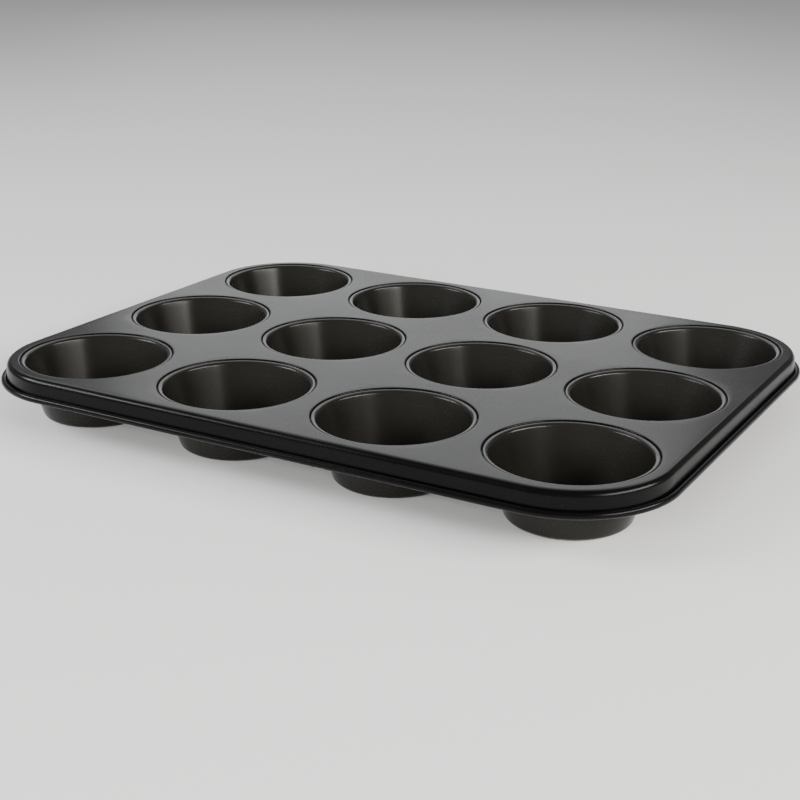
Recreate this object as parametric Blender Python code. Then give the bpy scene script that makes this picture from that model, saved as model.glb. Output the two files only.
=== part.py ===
"""Twelve-cup muffin tin: a pressed deck frame with a wired rim, and twelve drawn cups seated in it.

World frame: +X along the row of four cups, +Y from the front row to the back row, +Z up. The cups
stand on z = 0 and the origin is at the middle of the footprint. All lengths are in metres.
"""

import math

import bmesh
import bpy
from mathutils.geometry import tessellate_polygon

# Cup grid
COLUMNS = 4
ROWS = 3
PITCH = 0.0850

# Sheet and clearances
SHEET = 0.0006
GAP = 0.0003

# Heights
DECK_TOP = 0.0290
SEAT_DEPTH = 0.0017  # top of the seat ledge, below the deck
RIM_WIRE_DEPTH = 0.0095  # axis of the wire, below the deck

# Deck outline: a rounded rectangle through the points where the flat deck ends
DECK_MARGIN = 0.0415  # from the centre of an end cup to the end of the flat deck
OUTLINE_RADIUS = 0.0437
SHOULDER_RADIUS = 0.0030
SKIRT_FLARE = math.radians(4.0)

# Rolled rim and its wire
WIRE_RADIUS = 0.00075
CURL_RADIUS = WIRE_RADIUS + GAP + SHEET / 2
CURL_END = math.radians(465.0)  # the curl stops before it meets the skirt

# Seat in the deck, as radii around a cup's axis
SEAT_MOUTH_RADIUS = 0.0372
SEAT_EDGE_ROUND = 0.0007
SEAT_FLOOR_RADIUS = 0.0376  # wider than the mouth, so the wall leans over the cup's flange
SEAT_INNER_RADIUS = 0.0359

# Cup
LIP_CREST_RADIUS = 0.0362  # where the lip is highest, around the cup's axis
LIP_DEPTH = 0.0005  # top of the lip, below the deck
LIP_BEND = 0.0020  # bend from the crest down to the wall, on its upper face
FLANGE_BEND = 0.0008  # bend from the crest down to the flange, on its upper face
FLANGE_SLOPE = math.radians(40.0)
FLANGE_LENGTH = 0.0003  # flat end of the flange, past its bend
BOTTOM_RADIUS = 0.0271  # outside, where the wall and the bottom would meet in a sharp corner
CORNER_RADIUS = 0.0030  # outside of the bend between the wall and the bottom

# Facets
CUP_SEGMENTS = 24
CORNER_SEGMENTS = 6
SEAT_EDGE_SEGMENTS = 2
SHOULDER_SEGMENTS = 3
CURL_SEGMENTS = 8
LIP_SEGMENTS = 3
FLANGE_SEGMENTS = 2
BOTTOM_CORNER_SEGMENTS = 2
WIRE_SIDES = 6
SHARP_ANGLE = math.radians(40.0)

CORNER_CENTRE_X = (COLUMNS - 1) * PITCH / 2 + DECK_MARGIN - OUTLINE_RADIUS
CORNER_CENTRE_Y = (ROWS - 1) * PITCH / 2 + DECK_MARGIN - OUTLINE_RADIUS


def clear_scene():
    for existing in list(bpy.data.objects):
        bpy.data.objects.remove(existing, do_unlink=True)


def metal(name, colour, roughness, metallic):
    material = bpy.data.materials.new(name)
    material.use_nodes = True
    shader = material.node_tree.nodes["Principled BSDF"]
    shader.inputs["Base Color"].default_value = (*colour, 1.0)
    shader.inputs["Roughness"].default_value = roughness
    shader.inputs["Metallic"].default_value = metallic
    return material


def cup_centres():
    """Yields (row, column, x, y), with row 1 at the front and column 1 at the left."""
    for row in range(ROWS):
        for column in range(COLUMNS):
            x = (column - (COLUMNS - 1) / 2) * PITCH
            y = (row - (ROWS - 1) / 2) * PITCH
            yield row + 1, column + 1, x, y


def circle(mesh, x, y, radius, z):
    """A ring of vertices, counter-clockwise seen from above."""
    turns = [2 * math.pi * step / CUP_SEGMENTS for step in range(CUP_SEGMENTS)]
    return [mesh.verts.new((x + radius * math.cos(a), y + radius * math.sin(a), z)) for a in turns]


def outline(mesh, offset, z):
    """The deck's outline moved outwards by offset, counter-clockwise seen from above."""
    corners = [(1, 1, 0.0), (-1, 1, 0.5), (-1, -1, 1.0), (1, -1, 1.5)]
    radius = OUTLINE_RADIUS + offset
    ring = []
    for side_x, side_y, start in corners:
        for step in range(CORNER_SEGMENTS + 1):
            angle = math.pi * (start + 0.5 * step / CORNER_SEGMENTS)
            x = side_x * CORNER_CENTRE_X + radius * math.cos(angle)
            y = side_y * CORNER_CENTRE_Y + radius * math.sin(angle)
            ring.append(mesh.verts.new((x, y, z)))
    return ring


def bridge(mesh, first, second):
    """Joins two rings of equal length with a band of faces."""
    count = len(first)
    for i in range(count):
        j = (i + 1) % count
        mesh.faces.new((first[i], second[i], second[j], first[j]))


def bridge_all(mesh, rings):
    for first, second in zip(rings, rings[1:]):
        bridge(mesh, first, second)


def fill_flat(mesh, boundary, holes, facing_up):
    """Fills the flat area between a boundary ring and the rings of its holes."""
    loops = [boundary, *holes]
    vertices = [vertex for loop in loops for vertex in loop]
    for corners in tessellate_polygon([[vertex.co for vertex in loop] for loop in loops]):
        face = mesh.faces.new([vertices[index] for index in corners])
        face.normal_update()
        if (face.normal.z > 0) != facing_up:
            face.normal_flip()


def finish(mesh, name, material):
    """Turns a bmesh into a named, smooth-shaded object with its faces outwards."""
    bmesh.ops.recalc_face_normals(mesh, faces=mesh.faces)
    data = bpy.data.meshes.new(name)
    mesh.to_mesh(data)
    mesh.free()
    data.shade_smooth()
    data.set_sharp_from_angle(angle=SHARP_ANGLE)
    data.materials.append(material)
    piece = bpy.data.objects.new(name, data)
    bpy.context.scene.collection.objects.link(piece)
    return piece


def rim_path():
    """The middle of the sheet from the flat deck to the curl's end, as (offset, z, angle) stations.

    The angle is the direction of the sheet's outer side, so the two faces of the sheet lie half a
    thickness away from the middle along it.
    """
    bend = SHOULDER_RADIUS - SHEET / 2
    stations = []
    for step in range(SHOULDER_SEGMENTS + 1):
        angle = math.pi / 2 - (math.pi / 2 - SKIRT_FLARE) * step / SHOULDER_SEGMENTS
        z = DECK_TOP - SHOULDER_RADIUS + bend * math.sin(angle)
        stations.append((bend * math.cos(angle), z, angle))
    shoulder_offset, shoulder_z, _ = stations[-1]
    wire_z = DECK_TOP - RIM_WIRE_DEPTH
    curl_start = math.pi + SKIRT_FLARE
    first_z = wire_z + CURL_RADIUS * math.sin(curl_start)
    skirt_offset = shoulder_offset + (shoulder_z - first_z) * math.tan(SKIRT_FLARE)
    wire_offset = skirt_offset - CURL_RADIUS * math.cos(curl_start)
    for step in range(CURL_SEGMENTS + 1):
        turn = curl_start + (CURL_END - curl_start) * step / CURL_SEGMENTS
        offset = wire_offset + CURL_RADIUS * math.cos(turn)
        z = wire_z + CURL_RADIUS * math.sin(turn)
        # Around the curl, the sheet's outer side faces the wire.
        stations.append((offset, z, turn + math.pi))
    return stations, wire_offset, wire_z


def bend_points(centre_radius, centre_z, radius, start, end, segments):
    """Points of an arc in a section, as (radius, z), from one angle to another."""
    turns = [start + (end - start) * step / segments for step in range(segments + 1)]
    return [(centre_radius + radius * math.cos(a), centre_z + radius * math.sin(a)) for a in turns]


def seat_profile():
    """The deck around one cup, from the top face down into the seat and back under the deck."""
    top = DECK_TOP
    lean = math.atan2(SEAT_FLOOR_RADIUS - SEAT_MOUTH_RADIUS, SEAT_DEPTH - SEAT_EDGE_ROUND)
    outer_at_top = SEAT_MOUTH_RADIUS + SHEET / math.cos(lean) - SEAT_EDGE_ROUND * math.tan(lean)
    under_deck = outer_at_top + SHEET * math.tan(lean)
    under_seat = outer_at_top + (SEAT_DEPTH + SHEET) * math.tan(lean)
    edge = (SEAT_MOUTH_RADIUS + SEAT_EDGE_ROUND, top - SEAT_EDGE_ROUND)
    return [
        *bend_points(*edge, SEAT_EDGE_ROUND, math.pi / 2, math.pi, SEAT_EDGE_SEGMENTS),
        (SEAT_FLOOR_RADIUS, top - SEAT_DEPTH),
        (SEAT_INNER_RADIUS, top - SEAT_DEPTH),
        (SEAT_INNER_RADIUS, top - SEAT_DEPTH - SHEET),
        (under_seat, top - SEAT_DEPTH - SHEET),
        (under_deck, top - SHEET),
    ]


def make_deck_frame(material):
    mesh = bmesh.new()
    stations, _, _ = rim_path()
    half = SHEET / 2
    outer = [outline(mesh, u + half * math.cos(a), z + half * math.sin(a)) for u, z, a in stations]
    inner = [outline(mesh, u - half * math.cos(a), z - half * math.sin(a)) for u, z, a in stations]
    bridge_all(mesh, outer)
    bridge_all(mesh, inner)
    bridge(mesh, outer[-1], inner[-1])
    seats = []
    for _, _, x, y in cup_centres():
        rings = [circle(mesh, x, y, radius, z) for radius, z in seat_profile()]
        bridge_all(mesh, rings)
        seats.append(rings)
    fill_flat(mesh, outer[0], [rings[0] for rings in seats], facing_up=True)
    fill_flat(mesh, inner[0], [rings[-1] for rings in seats], facing_up=False)
    return finish(mesh, "deck_frame", material)


def wall_lean():
    """The cup wall's lean from the vertical: it is tangent to the lip and runs to the bottom corner."""
    across = LIP_CREST_RADIUS - BOTTOM_RADIUS
    drop = DECK_TOP - LIP_DEPTH - LIP_BEND
    return math.acos((LIP_BEND - SHEET) / math.hypot(across, drop)) - math.atan2(drop, across)


def cup_profile():
    """A cup's section: down its inner side from the flange's edge, and up its outer side."""
    lean = wall_lean()
    crest_z = DECK_TOP - LIP_DEPTH
    up, side, down = math.pi / 2, math.pi - lean, -math.pi / 2
    sloped = up - FLANGE_SLOPE
    lip = (LIP_CREST_RADIUS, crest_z - LIP_BEND)
    flange = (LIP_CREST_RADIUS, crest_z - FLANGE_BEND)
    inner_lip = bend_points(*lip, LIP_BEND, up, side, LIP_SEGMENTS)
    outer_lip = bend_points(*lip, LIP_BEND - SHEET, side, up, LIP_SEGMENTS)
    inner_flange = bend_points(*flange, FLANGE_BEND, sloped, up, FLANGE_SEGMENTS)
    outer_flange = bend_points(*flange, FLANGE_BEND - SHEET, up, sloped, FLANGE_SEGMENTS)
    tangent = CORNER_RADIUS * math.tan((math.pi / 2 - lean) / 2)
    corner = (BOTTOM_RADIUS - tangent, CORNER_RADIUS)
    inner_corner = bend_points(*corner, CORNER_RADIUS - SHEET, -lean, down, BOTTOM_CORNER_SEGMENTS)
    outer_corner = bend_points(*corner, CORNER_RADIUS, down, -lean, BOTTOM_CORNER_SEGMENTS)
    reach = FLANGE_LENGTH * math.cos(FLANGE_SLOPE)
    drop = FLANGE_LENGTH * math.sin(FLANGE_SLOPE)
    edge_top = (inner_flange[0][0] + reach, inner_flange[0][1] - drop)
    edge_base = (outer_flange[-1][0] + reach, outer_flange[-1][1] - drop)
    inner_side = [edge_top, *inner_flange, *inner_lip[1:], *inner_corner]
    outer_side = [*outer_corner, *outer_lip[:-1], *outer_flange, edge_base]
    return inner_side, outer_side


def make_cup(name, x, y, material):
    mesh = bmesh.new()
    inner_side, outer_side = cup_profile()
    inner = [circle(mesh, 0.0, 0.0, radius, z) for radius, z in inner_side]
    outer = [circle(mesh, 0.0, 0.0, radius, z) for radius, z in outer_side]
    bridge_all(mesh, inner)
    bridge_all(mesh, outer)
    bridge(mesh, outer[-1], inner[0])
    mesh.faces.new(inner[-1])
    mesh.faces.new(outer[0])
    cup = finish(mesh, name, material)
    cup.location = (x, y, 0.0)
    return cup


def make_rim_wire(material):
    mesh = bmesh.new()
    _, wire_offset, wire_z = rim_path()
    rings = []
    for side in range(WIRE_SIDES):
        turn = 2 * math.pi * side / WIRE_SIDES
        offset = wire_offset + WIRE_RADIUS * math.cos(turn)
        rings.append(outline(mesh, offset, wire_z + WIRE_RADIUS * math.sin(turn)))
    bridge_all(mesh, [*rings, rings[0]])
    return finish(mesh, "rim_wire", material)


def main():
    clear_scene()
    coating = metal("nonstick_coating", (0.055, 0.057, 0.060), 0.34, 0.35)
    cup_coating = metal("cup_coating", (0.045, 0.045, 0.042), 0.38, 0.35)
    wire_steel = metal("wire_steel", (0.42, 0.42, 0.42), 0.40, 1.0)
    make_deck_frame(coating)
    for row, column, x, y in cup_centres():
        make_cup(f"cup_r{row}_c{column}", x, y, cup_coating)
    make_rim_wire(wire_steel)


main()
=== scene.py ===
"""Looks of the twelve-cup muffin tin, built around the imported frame. All lengths are in metres."""

import math

import bmesh
import bpy
from mathutils import Matrix, Vector


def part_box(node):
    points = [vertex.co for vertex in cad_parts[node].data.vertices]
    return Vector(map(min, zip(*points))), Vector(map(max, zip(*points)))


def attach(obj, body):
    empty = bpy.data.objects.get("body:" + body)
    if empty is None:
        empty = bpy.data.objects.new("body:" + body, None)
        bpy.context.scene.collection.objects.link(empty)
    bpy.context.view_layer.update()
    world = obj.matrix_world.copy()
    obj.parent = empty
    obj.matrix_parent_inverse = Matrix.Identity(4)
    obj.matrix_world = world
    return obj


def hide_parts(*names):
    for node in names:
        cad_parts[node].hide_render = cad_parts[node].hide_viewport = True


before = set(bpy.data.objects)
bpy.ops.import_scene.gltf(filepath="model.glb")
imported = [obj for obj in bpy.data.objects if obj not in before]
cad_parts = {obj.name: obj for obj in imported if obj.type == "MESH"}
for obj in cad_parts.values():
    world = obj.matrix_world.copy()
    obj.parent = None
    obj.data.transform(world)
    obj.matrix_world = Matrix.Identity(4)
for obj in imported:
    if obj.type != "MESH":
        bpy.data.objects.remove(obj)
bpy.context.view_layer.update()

# Cup grid, with row 1 at the front and column 1 at the left
COLUMNS = 4
ROWS = 3
CELLS = [(row, column) for row in range(1, ROWS + 1) for column in range(1, COLUMNS + 1)]

# Sheet of the deck and of the cups
SHEET = 0.0006

# Rim: shoulder, skirt, and a curl around a wire
OUTLINE_RADIUS = 0.0437
SHOULDER_RADIUS = 0.0030
SKIRT_FLARE = math.radians(4.0)
WIRE_RADIUS = 0.00075
CURL_INSIDE = 0.00105
CURL_RADIUS = CURL_INSIDE + SHEET / 2
CURL_END = math.radians(497.0)

# Seat around a cup: radii around the cup's axis, and its depth under the deck
SEAT_MOUTH_RADIUS = 0.0372
SEAT_EDGE_ROUND = 0.0007
SEAT_FLOOR_RADIUS = 0.0376
SEAT_INNER_RADIUS = 0.0359
SEAT_DEPTH = 0.0017

# Cup: the lip's crest is its highest ring, and the flange slopes from it into the seat
LIP_CREST_RADIUS = 0.0362
LIP_DEPTH = 0.0005
LIP_BEND = 0.0020
FLANGE_BEND = 0.0008
FLANGE_SLOPE = math.radians(40.0)
FLANGE_LENGTH = 0.0003
BOTTOM_RADIUS = 0.0271
CORNER_RADIUS = 0.0030

# Fineness of the meshes
SHOULDER_STEPS = 12
SKIRT_STEPS = 4
CURL_STEPS = 44
SEAT_EDGE_STEPS = 8
DECK_RINGS = 4
CUP_SEGMENTS = 144
LIP_STEPS = 18
FLANGE_STEPS = 6
WALL_STEPS = 10
CORNER_STEPS = 10
FLOOR_STEPS = 6
WIRE_SIDES = 20
WIRE_CORNER_STEPS = 32
SHARP_ANGLE = math.radians(35.0)

# Tolerances: directions along an axis, points on a line, and the grid that merges shared vertices
ALONG_AXIS = 1e-9
ON_LINE = 1e-7
MERGE_CELLS_PER_METRE = 1e7

# Coating: noise scales per metre, the ranges of noise that are used, and heights of the bumps
CLOUD_SCALE = 22.0
WAVE_SCALE = 35.0
PEEL_SCALE = 900.0
FLECK_SCALE = 2600.0
CLOUD_RANGE = (0.35, 0.65)
FLECK_RANGE = (0.62, 0.74)
GLOSS_RANGE = (0.3, 0.7)
WAVE_HEIGHT = 0.0003
WAVE_STRENGTH = 0.2
PEEL_HEIGHT = 0.000001
FLECK_HEIGHT = 0.0000012
FLECK_GAIN = 2.6
FLECK_LIFT = 0.01
GLOSS_SPREAD = 0.035
GLOSS_GRAIN = 0.02

# Wire: noise scales per metre, and the ranges of noise that are used
STREAK_SCALE = 1400.0
STAIN_SCALE = 60.0
STREAK_RANGE = (0.3, 0.7)
STAIN_RANGE = (0.4, 0.7)
WIRE_COLOUR = (0.30, 0.30, 0.31)
WIRE_STAIN_COLOUR = (0.16, 0.15, 0.14)
WIRE_ROUGHNESS = (0.32, 0.5)

# Stage
FLOOR_HALF = 6.0
FLOOR_DROP = 0.0002
FLOOR_CUTS = 8
FLOOR_COLOUR = (0.80, 0.80, 0.80, 1.0)
FLOOR_ROUGHNESS = 0.6
FLOOR_SPECULAR = 0.2
WORLD_COLOUR = (0.97, 0.98, 1.0, 1.0)
WORLD_STRENGTH = 0.32

# Camera: it looks at the near right part of the deck, from the front and a little to the right
CAMERA_AZIMUTH = math.radians(29.75)
CAMERA_ELEVATION = math.radians(19.45)
CAMERA_ROLL = math.radians(0.35)
CAMERA_DISTANCE = 0.6747
CAMERA_AIM_X = 0.0349
CAMERA_AIM_Y = -0.0664
LENS_MM = 66.85
SENSOR_MM = 36.0


# ---------------------------------------------------------------- mesh helpers


def arc(centre_radius, centre_z, radius, start, end, steps):
    """Points of an arc in a section, as (radius, z)."""
    turns = [start + (end - start) * step / steps for step in range(steps + 1)]
    return [(centre_radius + radius * math.cos(a), centre_z + radius * math.sin(a)) for a in turns]


def between(first, last, steps):
    """Evenly spaced points strictly between two section points."""
    across, rise = last[0] - first[0], last[1] - first[1]
    shares = [step / steps for step in range(1, steps)]
    return [(first[0] + across * share, first[1] + rise * share) for share in shares]


def circle(mesh, x, y, radius, z):
    """A ring of vertices around a cup's axis, counter-clockwise seen from above."""
    turns = [2 * math.pi * step / CUP_SEGMENTS for step in range(CUP_SEGMENTS)]
    return [mesh.verts.new((x + radius * math.cos(a), y + radius * math.sin(a), z)) for a in turns]


def bridge(mesh, first, second):
    """Joins two rings of equal length with a band of faces."""
    count = len(first)
    for i in range(count):
        j = (i + 1) % count
        mesh.faces.new((first[i], second[i], second[j], first[j]))


def bridge_all(mesh, rings):
    for first, second in zip(rings, rings[1:]):
        bridge(mesh, first, second)


def finish_mesh(mesh, name, material):
    """Turns a bmesh into a smooth-shaded object with its faces outwards."""
    bmesh.ops.recalc_face_normals(mesh, faces=mesh.faces)
    data = bpy.data.meshes.new(name)
    mesh.to_mesh(data)
    mesh.free()
    data.shade_smooth()
    data.set_sharp_from_angle(angle=SHARP_ANGLE)
    data.materials.append(material)
    piece = bpy.data.objects.new(name, data)
    bpy.context.scene.collection.objects.link(piece)
    return piece


# ---------------------------------------------------------------- places read from the frame


def cup_name(row, column):
    return f"cup_r{row}_c{column}"


def cup_axis(row, column):
    low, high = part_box(cup_name(row, column))
    return (low.x + high.x) / 2, (low.y + high.y) / 2


deck_low, deck_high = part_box("deck_frame")
DECK_TOP = deck_high.z
RIM_BOTTOM = deck_low.z
PITCH = cup_axis(1, 2)[0] - cup_axis(1, 1)[0]
HALF_CELL = PITCH / 2


def rim_path():
    """The middle of the sheet from the flat deck to the curl's end, as (offset, z, angle) stations.

    The angle is the direction of the sheet's outer side. Around the curl that side faces the wire.
    """
    bend = SHOULDER_RADIUS - SHEET / 2
    stations = []
    for step in range(SHOULDER_STEPS + 1):
        angle = math.pi / 2 - (math.pi / 2 - SKIRT_FLARE) * step / SHOULDER_STEPS
        z = DECK_TOP - SHOULDER_RADIUS + bend * math.sin(angle)
        stations.append((bend * math.cos(angle), z, angle))
    shoulder_offset, shoulder_z, _ = stations[-1]
    wire_z = RIM_BOTTOM + CURL_RADIUS + SHEET / 2
    curl_start = math.pi + SKIRT_FLARE
    first_z = wire_z + CURL_RADIUS * math.sin(curl_start)
    skirt_offset = shoulder_offset + (shoulder_z - first_z) * math.tan(SKIRT_FLARE)
    skirt = between((shoulder_offset, shoulder_z), (skirt_offset, first_z), SKIRT_STEPS)
    stations.extend((offset, z, SKIRT_FLARE) for offset, z in skirt)
    wire_offset = skirt_offset - CURL_RADIUS * math.cos(curl_start)
    for step in range(CURL_STEPS + 1):
        turn = curl_start + (CURL_END - curl_start) * step / CURL_STEPS
        offset = wire_offset + CURL_RADIUS * math.cos(turn)
        stations.append((offset, wire_z + CURL_RADIUS * math.sin(turn), turn + math.pi))
    return stations, wire_offset, wire_z


rim_stations, WIRE_OFFSET, WIRE_Z = rim_path()
RIM_REACH = max(offset for offset, _, _ in rim_stations) + SHEET / 2

# The flat deck ends here, from the tin's middle and from the axis of an end cup
FLAT_HALF_X = deck_high.x - RIM_REACH
FLAT_HALF_Y = deck_high.y - RIM_REACH
MARGIN_X = FLAT_HALF_X - (COLUMNS - 1) * HALF_CELL
MARGIN_Y = FLAT_HALF_Y - (ROWS - 1) * HALF_CELL


# ---------------------------------------------------------------- deck frame


def cell_reach(row, column):
    """How far a cup's cell of deck reaches from its axis, to the left, right, front and back."""
    left = MARGIN_X if column == 1 else HALF_CELL
    right = MARGIN_X if column == COLUMNS else HALF_CELL
    front = MARGIN_Y if row == 1 else HALF_CELL
    back = MARGIN_Y if row == ROWS else HALF_CELL
    return left, right, front, back


def cell_edge(row, column, step):
    """The point where a cell of deck ends, in the direction of one step around its cup.

    A cell is a rectangle, and a corner cell has one rounded corner. Neighbouring cells give the
    same points along the side that they share. Returns the point, relative to the cup's axis, and
    the outward direction where that side of the cell is part of the deck's outline, or None.
    """
    left, right, front, back = cell_reach(row, column)
    quarter = CUP_SEGMENTS // 4
    angle = 2 * math.pi * step / CUP_SEGMENTS
    cosine, sine = math.cos(angle), math.sin(angle)
    side_x = 1 if column == COLUMNS else -1
    side_y = 1 if row == ROWS else -1
    is_corner = column in (1, COLUMNS) and row in (1, ROWS)
    corner_x = side_x * (MARGIN_X - OUTLINE_RADIUS)
    corner_y = side_y * (MARGIN_Y - OUTLINE_RADIUS)
    if is_corner and cosine * side_x > -ALONG_AXIS and sine * side_y > -ALONG_AXIS:
        return (corner_x + OUTLINE_RADIUS * cosine, corner_y + OUTLINE_RADIUS * sine), (cosine, sine)

    # The sides are 0 right, 1 back, 2 left and 3 front, and along runs from -1 to 1 on each.
    side = (step + quarter // 2) % CUP_SEGMENTS // quarter
    along = math.tan(angle - side * math.pi / 2)
    on_rim = (column == COLUMNS, row == ROWS, column == 1, row == 1)[side]
    start_x = corner_x if is_corner and on_rim else 0.0
    start_y = corner_y if is_corner and on_rim else 0.0
    to_right, to_left = right - start_x, left + start_x
    to_back, to_front = back - start_y, front + start_y
    if side == 0:
        point = (right, start_y + along * (to_back if along > 0 else to_front))
    elif side == 1:
        point = (start_x - along * (to_left if along > 0 else to_right), back)
    elif side == 2:
        point = (-left, start_y - along * (to_front if along > 0 else to_back))
    else:
        point = (start_x + along * (to_right if along > 0 else to_left), -front)
    outward = ((1.0, 0.0), (0.0, 1.0), (-1.0, 0.0), (0.0, -1.0))[side]
    return point, outward if on_rim else None


def on_outline(row, column, point):
    """Whether a point of a cell's edge also lies on the deck's outline."""
    left, right, front, back = cell_reach(row, column)
    return (
        (column == 1 and abs(point[0] + left) < ON_LINE)
        or (column == COLUMNS and abs(point[0] - right) < ON_LINE)
        or (row == 1 and abs(point[1] + front) < ON_LINE)
        or (row == ROWS and abs(point[1] - back) < ON_LINE)
    )


def outward_pair(row, column, edges):
    """Outward directions at two neighbouring edge points, or None where the rim doesn't pass."""
    known = [outward for _, outward in edges if outward is not None]
    if not known:
        return None
    if any(outward is None and not on_outline(row, column, point) for point, outward in edges):
        return None
    return known[0], known[-1]


def seat_section():
    """The deck around one cup, from its flat top into the seat and back to its flat underside."""
    lean = math.atan2(SEAT_FLOOR_RADIUS - SEAT_MOUTH_RADIUS, SEAT_DEPTH - SEAT_EDGE_ROUND)
    edge = (SEAT_MOUTH_RADIUS + SEAT_EDGE_ROUND, DECK_TOP - SEAT_EDGE_ROUND)
    outer_at_top = SEAT_MOUTH_RADIUS + SHEET / math.cos(lean) - SEAT_EDGE_ROUND * math.tan(lean)
    under_deck = outer_at_top + SHEET * math.tan(lean)
    under_seat = outer_at_top + (SEAT_DEPTH + SHEET) * math.tan(lean)
    seat_top = DECK_TOP - SEAT_DEPTH
    return [
        *arc(*edge, SEAT_EDGE_ROUND, math.pi / 2, math.pi, SEAT_EDGE_STEPS),
        (SEAT_FLOOR_RADIUS, seat_top),
        (SEAT_INNER_RADIUS, seat_top),
        (SEAT_INNER_RADIUS, seat_top - SHEET),
        (under_seat, seat_top - SHEET),
        (under_deck, DECK_TOP - SHEET),
    ]


class DeckMesh:
    """The deck frame's mesh, in which neighbouring cells share the vertices on their common side."""

    def __init__(self):
        self.mesh = bmesh.new()
        self.shared = {}
        half = SHEET / 2
        self.rim_sides = [
            [(u + half * math.cos(a), z + half * math.sin(a)) for u, z, a in rim_stations],
            [(u - half * math.cos(a), z - half * math.sin(a)) for u, z, a in rim_stations],
        ]

    def vertex(self, x, y, z):
        key = tuple(round(value * MERGE_CELLS_PER_METRE) for value in (x, y, z))
        if key not in self.shared:
            self.shared[key] = self.mesh.verts.new((x, y, z))
        return self.shared[key]

    def add_flat(self, x, y, ring, edges, z):
        """The flat face of a cell, in rings that change from the seat's circle to the cell's edge."""
        fronts = [ring]
        for level in range(1, DECK_RINGS + 1):
            share = level / DECK_RINGS
            reached = []
            for start, (point, _) in zip(ring, edges):
                start_x, start_y = start.co.x - x, start.co.y - y
                to_x = start_x + (point[0] - start_x) * share
                to_y = start_y + (point[1] - start_y) * share
                reached.append(self.vertex(x + to_x, y + to_y, z))
            fronts.append(reached)
        bridge_all(self.mesh, fronts)

    def add_rim_strip(self, x, y, edges, outwards):
        """A strip of shoulder, skirt and curl between two neighbouring edge points."""
        columns = [
            [
                [self.vertex(x + point[0] + out_x * u, y + point[1] + out_y * u, z) for u, z in side]
                for side in self.rim_sides
            ]
            for (point, _), (out_x, out_y) in zip(edges, outwards)
        ]
        (outer, inner), (next_outer, next_inner) = columns
        for first, second in ((outer, next_outer), (inner, next_inner)):
            for i in range(len(first) - 1):
                self.mesh.faces.new((first[i], first[i + 1], second[i + 1], second[i]))
        self.mesh.faces.new((outer[-1], next_outer[-1], next_inner[-1], inner[-1]))

    def add_cell(self, row, column):
        """The deck around one cup, with its seat, and with its part of the rim in an outer cell."""
        x, y = cup_axis(row, column)
        seat = [circle(self.mesh, x, y, radius, z) for radius, z in seat_section()]
        bridge_all(self.mesh, seat)
        edges = [cell_edge(row, column, step) for step in range(CUP_SEGMENTS)]
        self.add_flat(x, y, seat[0], edges, DECK_TOP)
        self.add_flat(x, y, seat[-1], edges, DECK_TOP - SHEET)
        for pair in zip(edges, edges[1:] + edges[:1]):
            outwards = outward_pair(row, column, pair)
            if outwards is not None:
                self.add_rim_strip(x, y, pair, outwards)


def make_deck(material):
    """The deck, its seats, the skirt and the rolled rim, as one sheet."""
    deck = DeckMesh()
    for row, column in CELLS:
        deck.add_cell(row, column)
    return finish_mesh(deck.mesh, "deck_frame_skin", material)


# ---------------------------------------------------------------- cups and wire


def wall_lean():
    """The cup wall's lean from the vertical: it is tangent to the lip and ends in the bottom corner."""
    across = LIP_CREST_RADIUS - BOTTOM_RADIUS
    drop = DECK_TOP - LIP_DEPTH - LIP_BEND
    return math.acos((LIP_BEND - SHEET) / math.hypot(across, drop)) - math.atan2(drop, across)


def cup_section():
    """A cup's section: down its inner side from the flange's edge, and up its outer side."""
    lean = wall_lean()
    up, side, down = math.pi / 2, math.pi - lean, -math.pi / 2
    lip = (LIP_CREST_RADIUS, DECK_TOP - LIP_DEPTH - LIP_BEND)
    inner_lip = arc(*lip, LIP_BEND, up, side, LIP_STEPS)
    outer_lip = arc(*lip, LIP_BEND - SHEET, side, up, LIP_STEPS)
    tangent = CORNER_RADIUS * math.tan((math.pi / 2 - lean) / 2)
    corner = (BOTTOM_RADIUS - tangent, CORNER_RADIUS)
    inner_corner = arc(*corner, CORNER_RADIUS - SHEET, -lean, down, CORNER_STEPS)
    outer_corner = arc(*corner, CORNER_RADIUS, down, -lean, CORNER_STEPS)
    sloped = up - FLANGE_SLOPE
    flange = (LIP_CREST_RADIUS, DECK_TOP - LIP_DEPTH - FLANGE_BEND)
    inner_flange = arc(*flange, FLANGE_BEND, sloped, up, FLANGE_STEPS)
    outer_flange = arc(*flange, FLANGE_BEND - SHEET, up, sloped, FLANGE_STEPS)
    reach = FLANGE_LENGTH * math.cos(FLANGE_SLOPE)
    drop = FLANGE_LENGTH * math.sin(FLANGE_SLOPE)
    inner = [
        (inner_flange[0][0] + reach, inner_flange[0][1] - drop),
        *inner_flange,
        *inner_lip[1:],
        *between(inner_lip[-1], inner_corner[0], WALL_STEPS),
        *inner_corner,
    ]
    outer = [
        *outer_corner,
        *between(outer_corner[-1], outer_lip[0], WALL_STEPS),
        *outer_lip[:-1],
        *outer_flange,
        (outer_flange[-1][0] + reach, outer_flange[-1][1] - drop),
    ]
    return inner, outer


def disc(mesh, rim, z):
    """Closes a ring with shrinking rings of faces and a small cap in the middle."""
    fronts = [rim]
    for step in range(1, FLOOR_STEPS):
        share = 1 - step / FLOOR_STEPS
        fronts.append([mesh.verts.new((v.co.x * share, v.co.y * share, z)) for v in rim])
    bridge_all(mesh, fronts)
    centre = mesh.verts.new((0.0, 0.0, z))
    last = fronts[-1]
    for start, end in zip(last, last[1:] + last[:1]):
        mesh.faces.new((start, end, centre))


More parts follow.
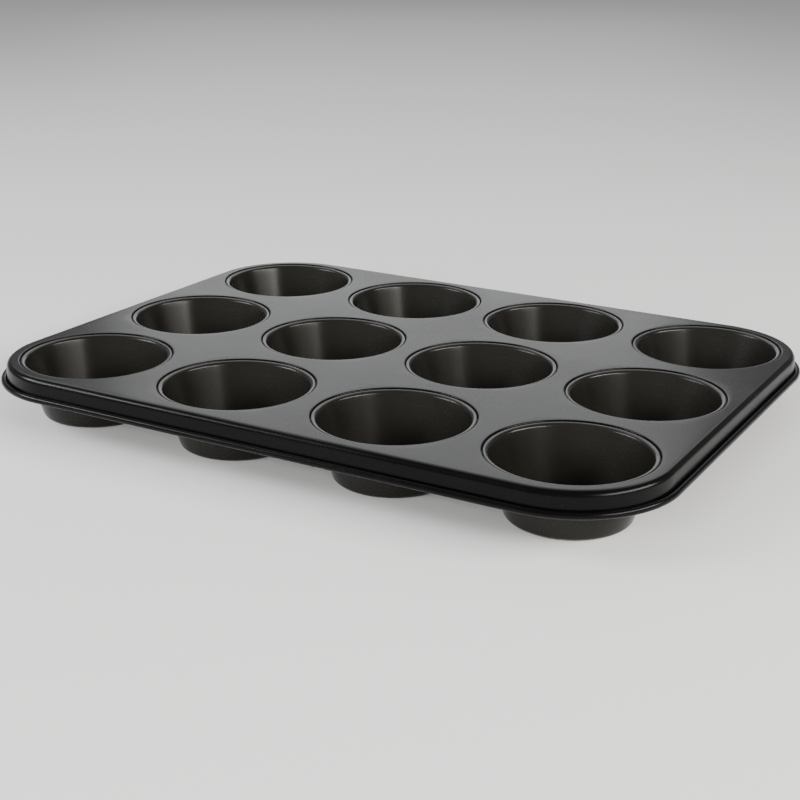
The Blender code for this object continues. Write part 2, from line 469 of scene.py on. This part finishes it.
def make_cup(name, x, y, material):
    mesh = bmesh.new()
    inner_section, outer_section = cup_section()
    inner = [circle(mesh, 0.0, 0.0, radius, z) for radius, z in inner_section]
    outer = [circle(mesh, 0.0, 0.0, radius, z) for radius, z in outer_section]
    bridge_all(mesh, inner)
    bridge_all(mesh, outer)
    bridge(mesh, outer[-1], inner[0])
    disc(mesh, inner[-1], SHEET)
    disc(mesh, outer[0], 0.0)
    cup = finish_mesh(mesh, name, material)
    cup.location = (x, y, 0.0)
    return cup


def wire_ring(mesh, radius, z):
    """A rounded rectangle of vertices along the rim, with the given radius at its corners."""
    corners = ((1, 1, 0.0), (-1, 1, 0.5), (-1, -1, 1.0), (1, -1, 1.5))
    ring = []
    for side_x, side_y, start in corners:
        for step in range(WIRE_CORNER_STEPS + 1):
            angle = math.pi * (start + 0.5 * step / WIRE_CORNER_STEPS)
            x = side_x * (FLAT_HALF_X - OUTLINE_RADIUS) + radius * math.cos(angle)
            y = side_y * (FLAT_HALF_Y - OUTLINE_RADIUS) + radius * math.sin(angle)
            ring.append(mesh.verts.new((x, y, z)))
    return ring


def make_wire(material):
    mesh = bmesh.new()
    rings = []
    for side in range(WIRE_SIDES):
        turn = 2 * math.pi * side / WIRE_SIDES
        radius = OUTLINE_RADIUS + WIRE_OFFSET + WIRE_RADIUS * math.cos(turn)
        rings.append(wire_ring(mesh, radius, WIRE_Z + WIRE_RADIUS * math.sin(turn)))
    bridge_all(mesh, [*rings, rings[0]])
    return finish_mesh(mesh, "rim_wire_rod", material)


# ---------------------------------------------------------------- materials


class Nodes:
    """Short calls for building a material's node tree."""

    def __init__(self, name):
        self.material = bpy.data.materials.new(name)
        self.material.use_nodes = True
        self.tree = self.material.node_tree
        self.inputs = self.tree.nodes["Principled BSDF"].inputs

    def add(self, kind, **settings):
        node = self.tree.nodes.new(kind)
        for key, value in settings.items():
            setattr(node, key, value)
        return node

    def link(self, source, target):
        self.tree.links.new(source, target)

    def place(self):
        return self.add("ShaderNodeTexCoord").outputs["Object"]

    def noise(self, place, scale, detail):
        node = self.add("ShaderNodeTexNoise")
        node.inputs["Scale"].default_value = scale
        node.inputs["Detail"].default_value = detail
        self.link(place, node.inputs["Vector"])
        return node.outputs["Fac"]

    def ramp(self, source, low, high, to_low, to_high):
        node = self.add("ShaderNodeMapRange", clamp=True)
        node.inputs["From Min"].default_value = low
        node.inputs["From Max"].default_value = high
        node.inputs["To Min"].default_value = to_low
        node.inputs["To Max"].default_value = to_high
        self.link(source, node.inputs["Value"])
        return node.outputs["Result"]

    def plus(self, first, second):
        node = self.add("ShaderNodeMath", operation="ADD")
        self.link(first, node.inputs[0])
        self.link(second, node.inputs[1])
        return node.outputs["Value"]

    def mix(self, factor, first, second):
        """Mixes two colours, each a tuple or a socket."""
        node = self.add("ShaderNodeMix", data_type="RGBA")
        self.link(factor, node.inputs["Factor"])
        for name, value in (("A", first), ("B", second)):
            socket = next(s for s in node.inputs if s.name == name and s.type == "RGBA")
            if isinstance(value, tuple):
                socket.default_value = (*value, 1.0)
            else:
                self.link(value, socket)
        return next(s for s in node.outputs if s.type == "RGBA")

    def bump(self, height, distance, strength=1.0, normal=None):
        node = self.add("ShaderNodeBump")
        node.inputs["Distance"].default_value = distance
        node.inputs["Strength"].default_value = strength
        self.link(height, node.inputs["Height"])
        if normal is not None:
            self.link(normal, node.inputs["Normal"])
        return node.outputs["Normal"]


def coating_material(name, dark, light, roughness, specular, fleck_share):
    """Baked non-stick coating: cloudy tone, fine flecks, orange peel and slightly uneven gloss."""
    n = Nodes(name)
    place = n.place()
    cloud = n.noise(place, CLOUD_SCALE, detail=4.0)
    flecks = n.noise(place, FLECK_SCALE, detail=2.0)
    peel = n.noise(place, PEEL_SCALE, detail=2.0)
    wave = n.noise(place, WAVE_SCALE, detail=1.0)

    tone = n.mix(n.ramp(cloud, *CLOUD_RANGE, 0.0, 1.0), dark, light)
    fleck_colour = tuple(min(1.0, channel * FLECK_GAIN + FLECK_LIFT) for channel in light)
    flecked = n.mix(n.ramp(flecks, *FLECK_RANGE, 0.0, fleck_share), tone, fleck_colour)
    n.link(flecked, n.inputs["Base Color"])

    uneven = n.ramp(cloud, *GLOSS_RANGE, roughness - GLOSS_SPREAD, roughness + GLOSS_SPREAD)
    grain = n.ramp(peel, *GLOSS_RANGE, -GLOSS_GRAIN, GLOSS_GRAIN)
    n.link(n.plus(uneven, grain), n.inputs["Roughness"])
    n.inputs["Specular IOR Level"].default_value = specular

    sheet = n.bump(wave, WAVE_HEIGHT, strength=WAVE_STRENGTH)
    orange_peel = n.bump(peel, PEEL_HEIGHT, normal=sheet)
    n.link(n.bump(flecks, FLECK_HEIGHT, normal=orange_peel), n.inputs["Normal"])
    return n.material


def wire_material():
    """Drawn steel with fine streaks and a few darker stains."""
    n = Nodes("drawn_wire")
    place = n.place()
    streaks = n.noise(place, STREAK_SCALE, detail=3.0)
    stain = n.noise(place, STAIN_SCALE, detail=3.0)
    colour = n.mix(n.ramp(stain, *STAIN_RANGE, 0.0, 1.0), WIRE_COLOUR, WIRE_STAIN_COLOUR)
    n.link(colour, n.inputs["Base Color"])
    n.link(n.ramp(streaks, *STREAK_RANGE, *WIRE_ROUGHNESS), n.inputs["Roughness"])
    n.inputs["Metallic"].default_value = 1.0
    return n.material


def floor_material():
    n = Nodes("pale_floor")
    n.inputs["Base Color"].default_value = FLOOR_COLOUR
    n.inputs["Roughness"].default_value = FLOOR_ROUGHNESS
    n.inputs["Specular IOR Level"].default_value = FLOOR_SPECULAR
    return n.material


# ---------------------------------------------------------------- camera, stage and light


def view_axes():
    """The camera's backward, right and up directions."""
    flat = math.cos(CAMERA_ELEVATION)
    back = Vector(
        (
            math.sin(CAMERA_AZIMUTH) * flat,
            -math.cos(CAMERA_AZIMUTH) * flat,
            math.sin(CAMERA_ELEVATION),
        )
    )
    right = Vector((math.cos(CAMERA_AZIMUTH), math.sin(CAMERA_AZIMUTH), 0.0))
    up = back.cross(right)
    cosine, sine = math.cos(CAMERA_ROLL), math.sin(CAMERA_ROLL)
    return back, cosine * right + sine * up, cosine * up - sine * right


def make_camera():
    data = bpy.data.cameras.new("camera")
    data.lens = LENS_MM
    data.sensor_width = SENSOR_MM
    camera = bpy.data.objects.new("camera", data)
    bpy.context.scene.collection.objects.link(camera)
    back, right, up = view_axes()
    place = Matrix((right, up, back)).transposed().to_4x4()
    aim = Vector((CAMERA_AIM_X, CAMERA_AIM_Y, DECK_TOP))
    place.translation = aim + back * CAMERA_DISTANCE
    camera.matrix_world = place
    bpy.context.scene.camera = camera


def make_floor():
    mesh = bmesh.new()
    bmesh.ops.create_grid(mesh, x_segments=FLOOR_CUTS, y_segments=FLOOR_CUTS, size=FLOOR_HALF)
    floor = finish_mesh(mesh, "floor", floor_material())
    floor.location = (0.0, 0.0, -FLOOR_DROP)


def softbox(name, turn, elevation, distance, width, height, watts, colour=(1.0, 1.0, 1.0)):
    """A rectangular light that faces the tin. turn is degrees to the left of the view's direction."""
    heading = math.pi / 2 + CAMERA_AZIMUTH + math.radians(turn)
    rise = math.radians(elevation)
    flat = math.cos(rise)
    direction = Vector((math.cos(heading) * flat, math.sin(heading) * flat, math.sin(rise)))
    data = bpy.data.lights.new(name, "AREA")
    data.shape = "RECTANGLE"
    data.size = width
    data.size_y = height
    data.energy = watts
    data.color = colour
    light = bpy.data.objects.new(name, data)
    bpy.context.scene.collection.objects.link(light)
    light.location = direction * distance
    light.rotation_euler = direction.to_track_quat("Z", "Y").to_euler()
    light.visible_camera = False
    return light


def make_world():
    world = bpy.data.worlds.new("studio")
    bpy.context.scene.world = world
    world.use_nodes = True
    background = world.node_tree.nodes["Background"]
    background.inputs["Color"].default_value = WORLD_COLOUR
    background.inputs["Strength"].default_value = WORLD_STRENGTH


def make_lights():
    """Two cards that show only in reflections, a fill that shows in none, and two side boxes."""
    far_card = softbox(
        "far_card",
        turn=0.0,
        elevation=16.0,
        distance=2.6,
        width=1.3,
        height=0.9,
        watts=6.6,
        colour=(0.98, 0.99, 1.0),
    )
    far_card.visible_diffuse = False
    overhead = softbox(
        "overhead", turn=0.0, elevation=50.0, distance=1.8, width=2.0, height=1.5, watts=24.0
    )
    overhead.visible_diffuse = False
    front_fill = softbox(
        "front_fill",
        turn=152.0,
        elevation=18.0,
        distance=2.0,
        width=2.2,
        height=0.8,
        watts=58.0,
        colour=(1.0, 0.99, 0.97),
    )
    front_fill.visible_glossy = False
    softbox(
        "left_box",
        turn=92.0,
        elevation=30.0,
        distance=1.7,
        width=0.9,
        height=0.35,
        watts=24.0,
        colour=(0.97, 0.98, 1.0),
    )
    softbox(
        "right_box",
        turn=-122.0,
        elevation=27.0,
        distance=1.6,
        width=1.5,
        height=0.35,
        watts=46.0,
        colour=(1.0, 0.98, 0.93),
    )


def main():
    make_camera()
    make_floor()
    make_world()
    make_lights()
    deck_coating = coating_material(
        "deck_coating",
        dark=(0.0009, 0.0009, 0.0010),
        light=(0.0015, 0.0015, 0.0016),
        roughness=0.25,
        specular=0.11,
        fleck_share=0.12,
    )
    cup_coating = coating_material(
        "cup_coating",
        dark=(0.0064, 0.0061, 0.0050),
        light=(0.0096, 0.0092, 0.0076),
        roughness=0.24,
        specular=0.17,
        fleck_share=0.4,
    )

    deck = make_deck(deck_coating)
    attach(deck, "root")
    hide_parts("deck_frame")
    for row, column in CELLS:
        node = cup_name(row, column)
        cup = make_cup(f"{node}_skin", *cup_axis(row, column), cup_coating)
        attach(cup, "root")
        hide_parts(node)
    wire = make_wire(wire_material())
    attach(wire, "root")
    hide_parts("rim_wire")


main()
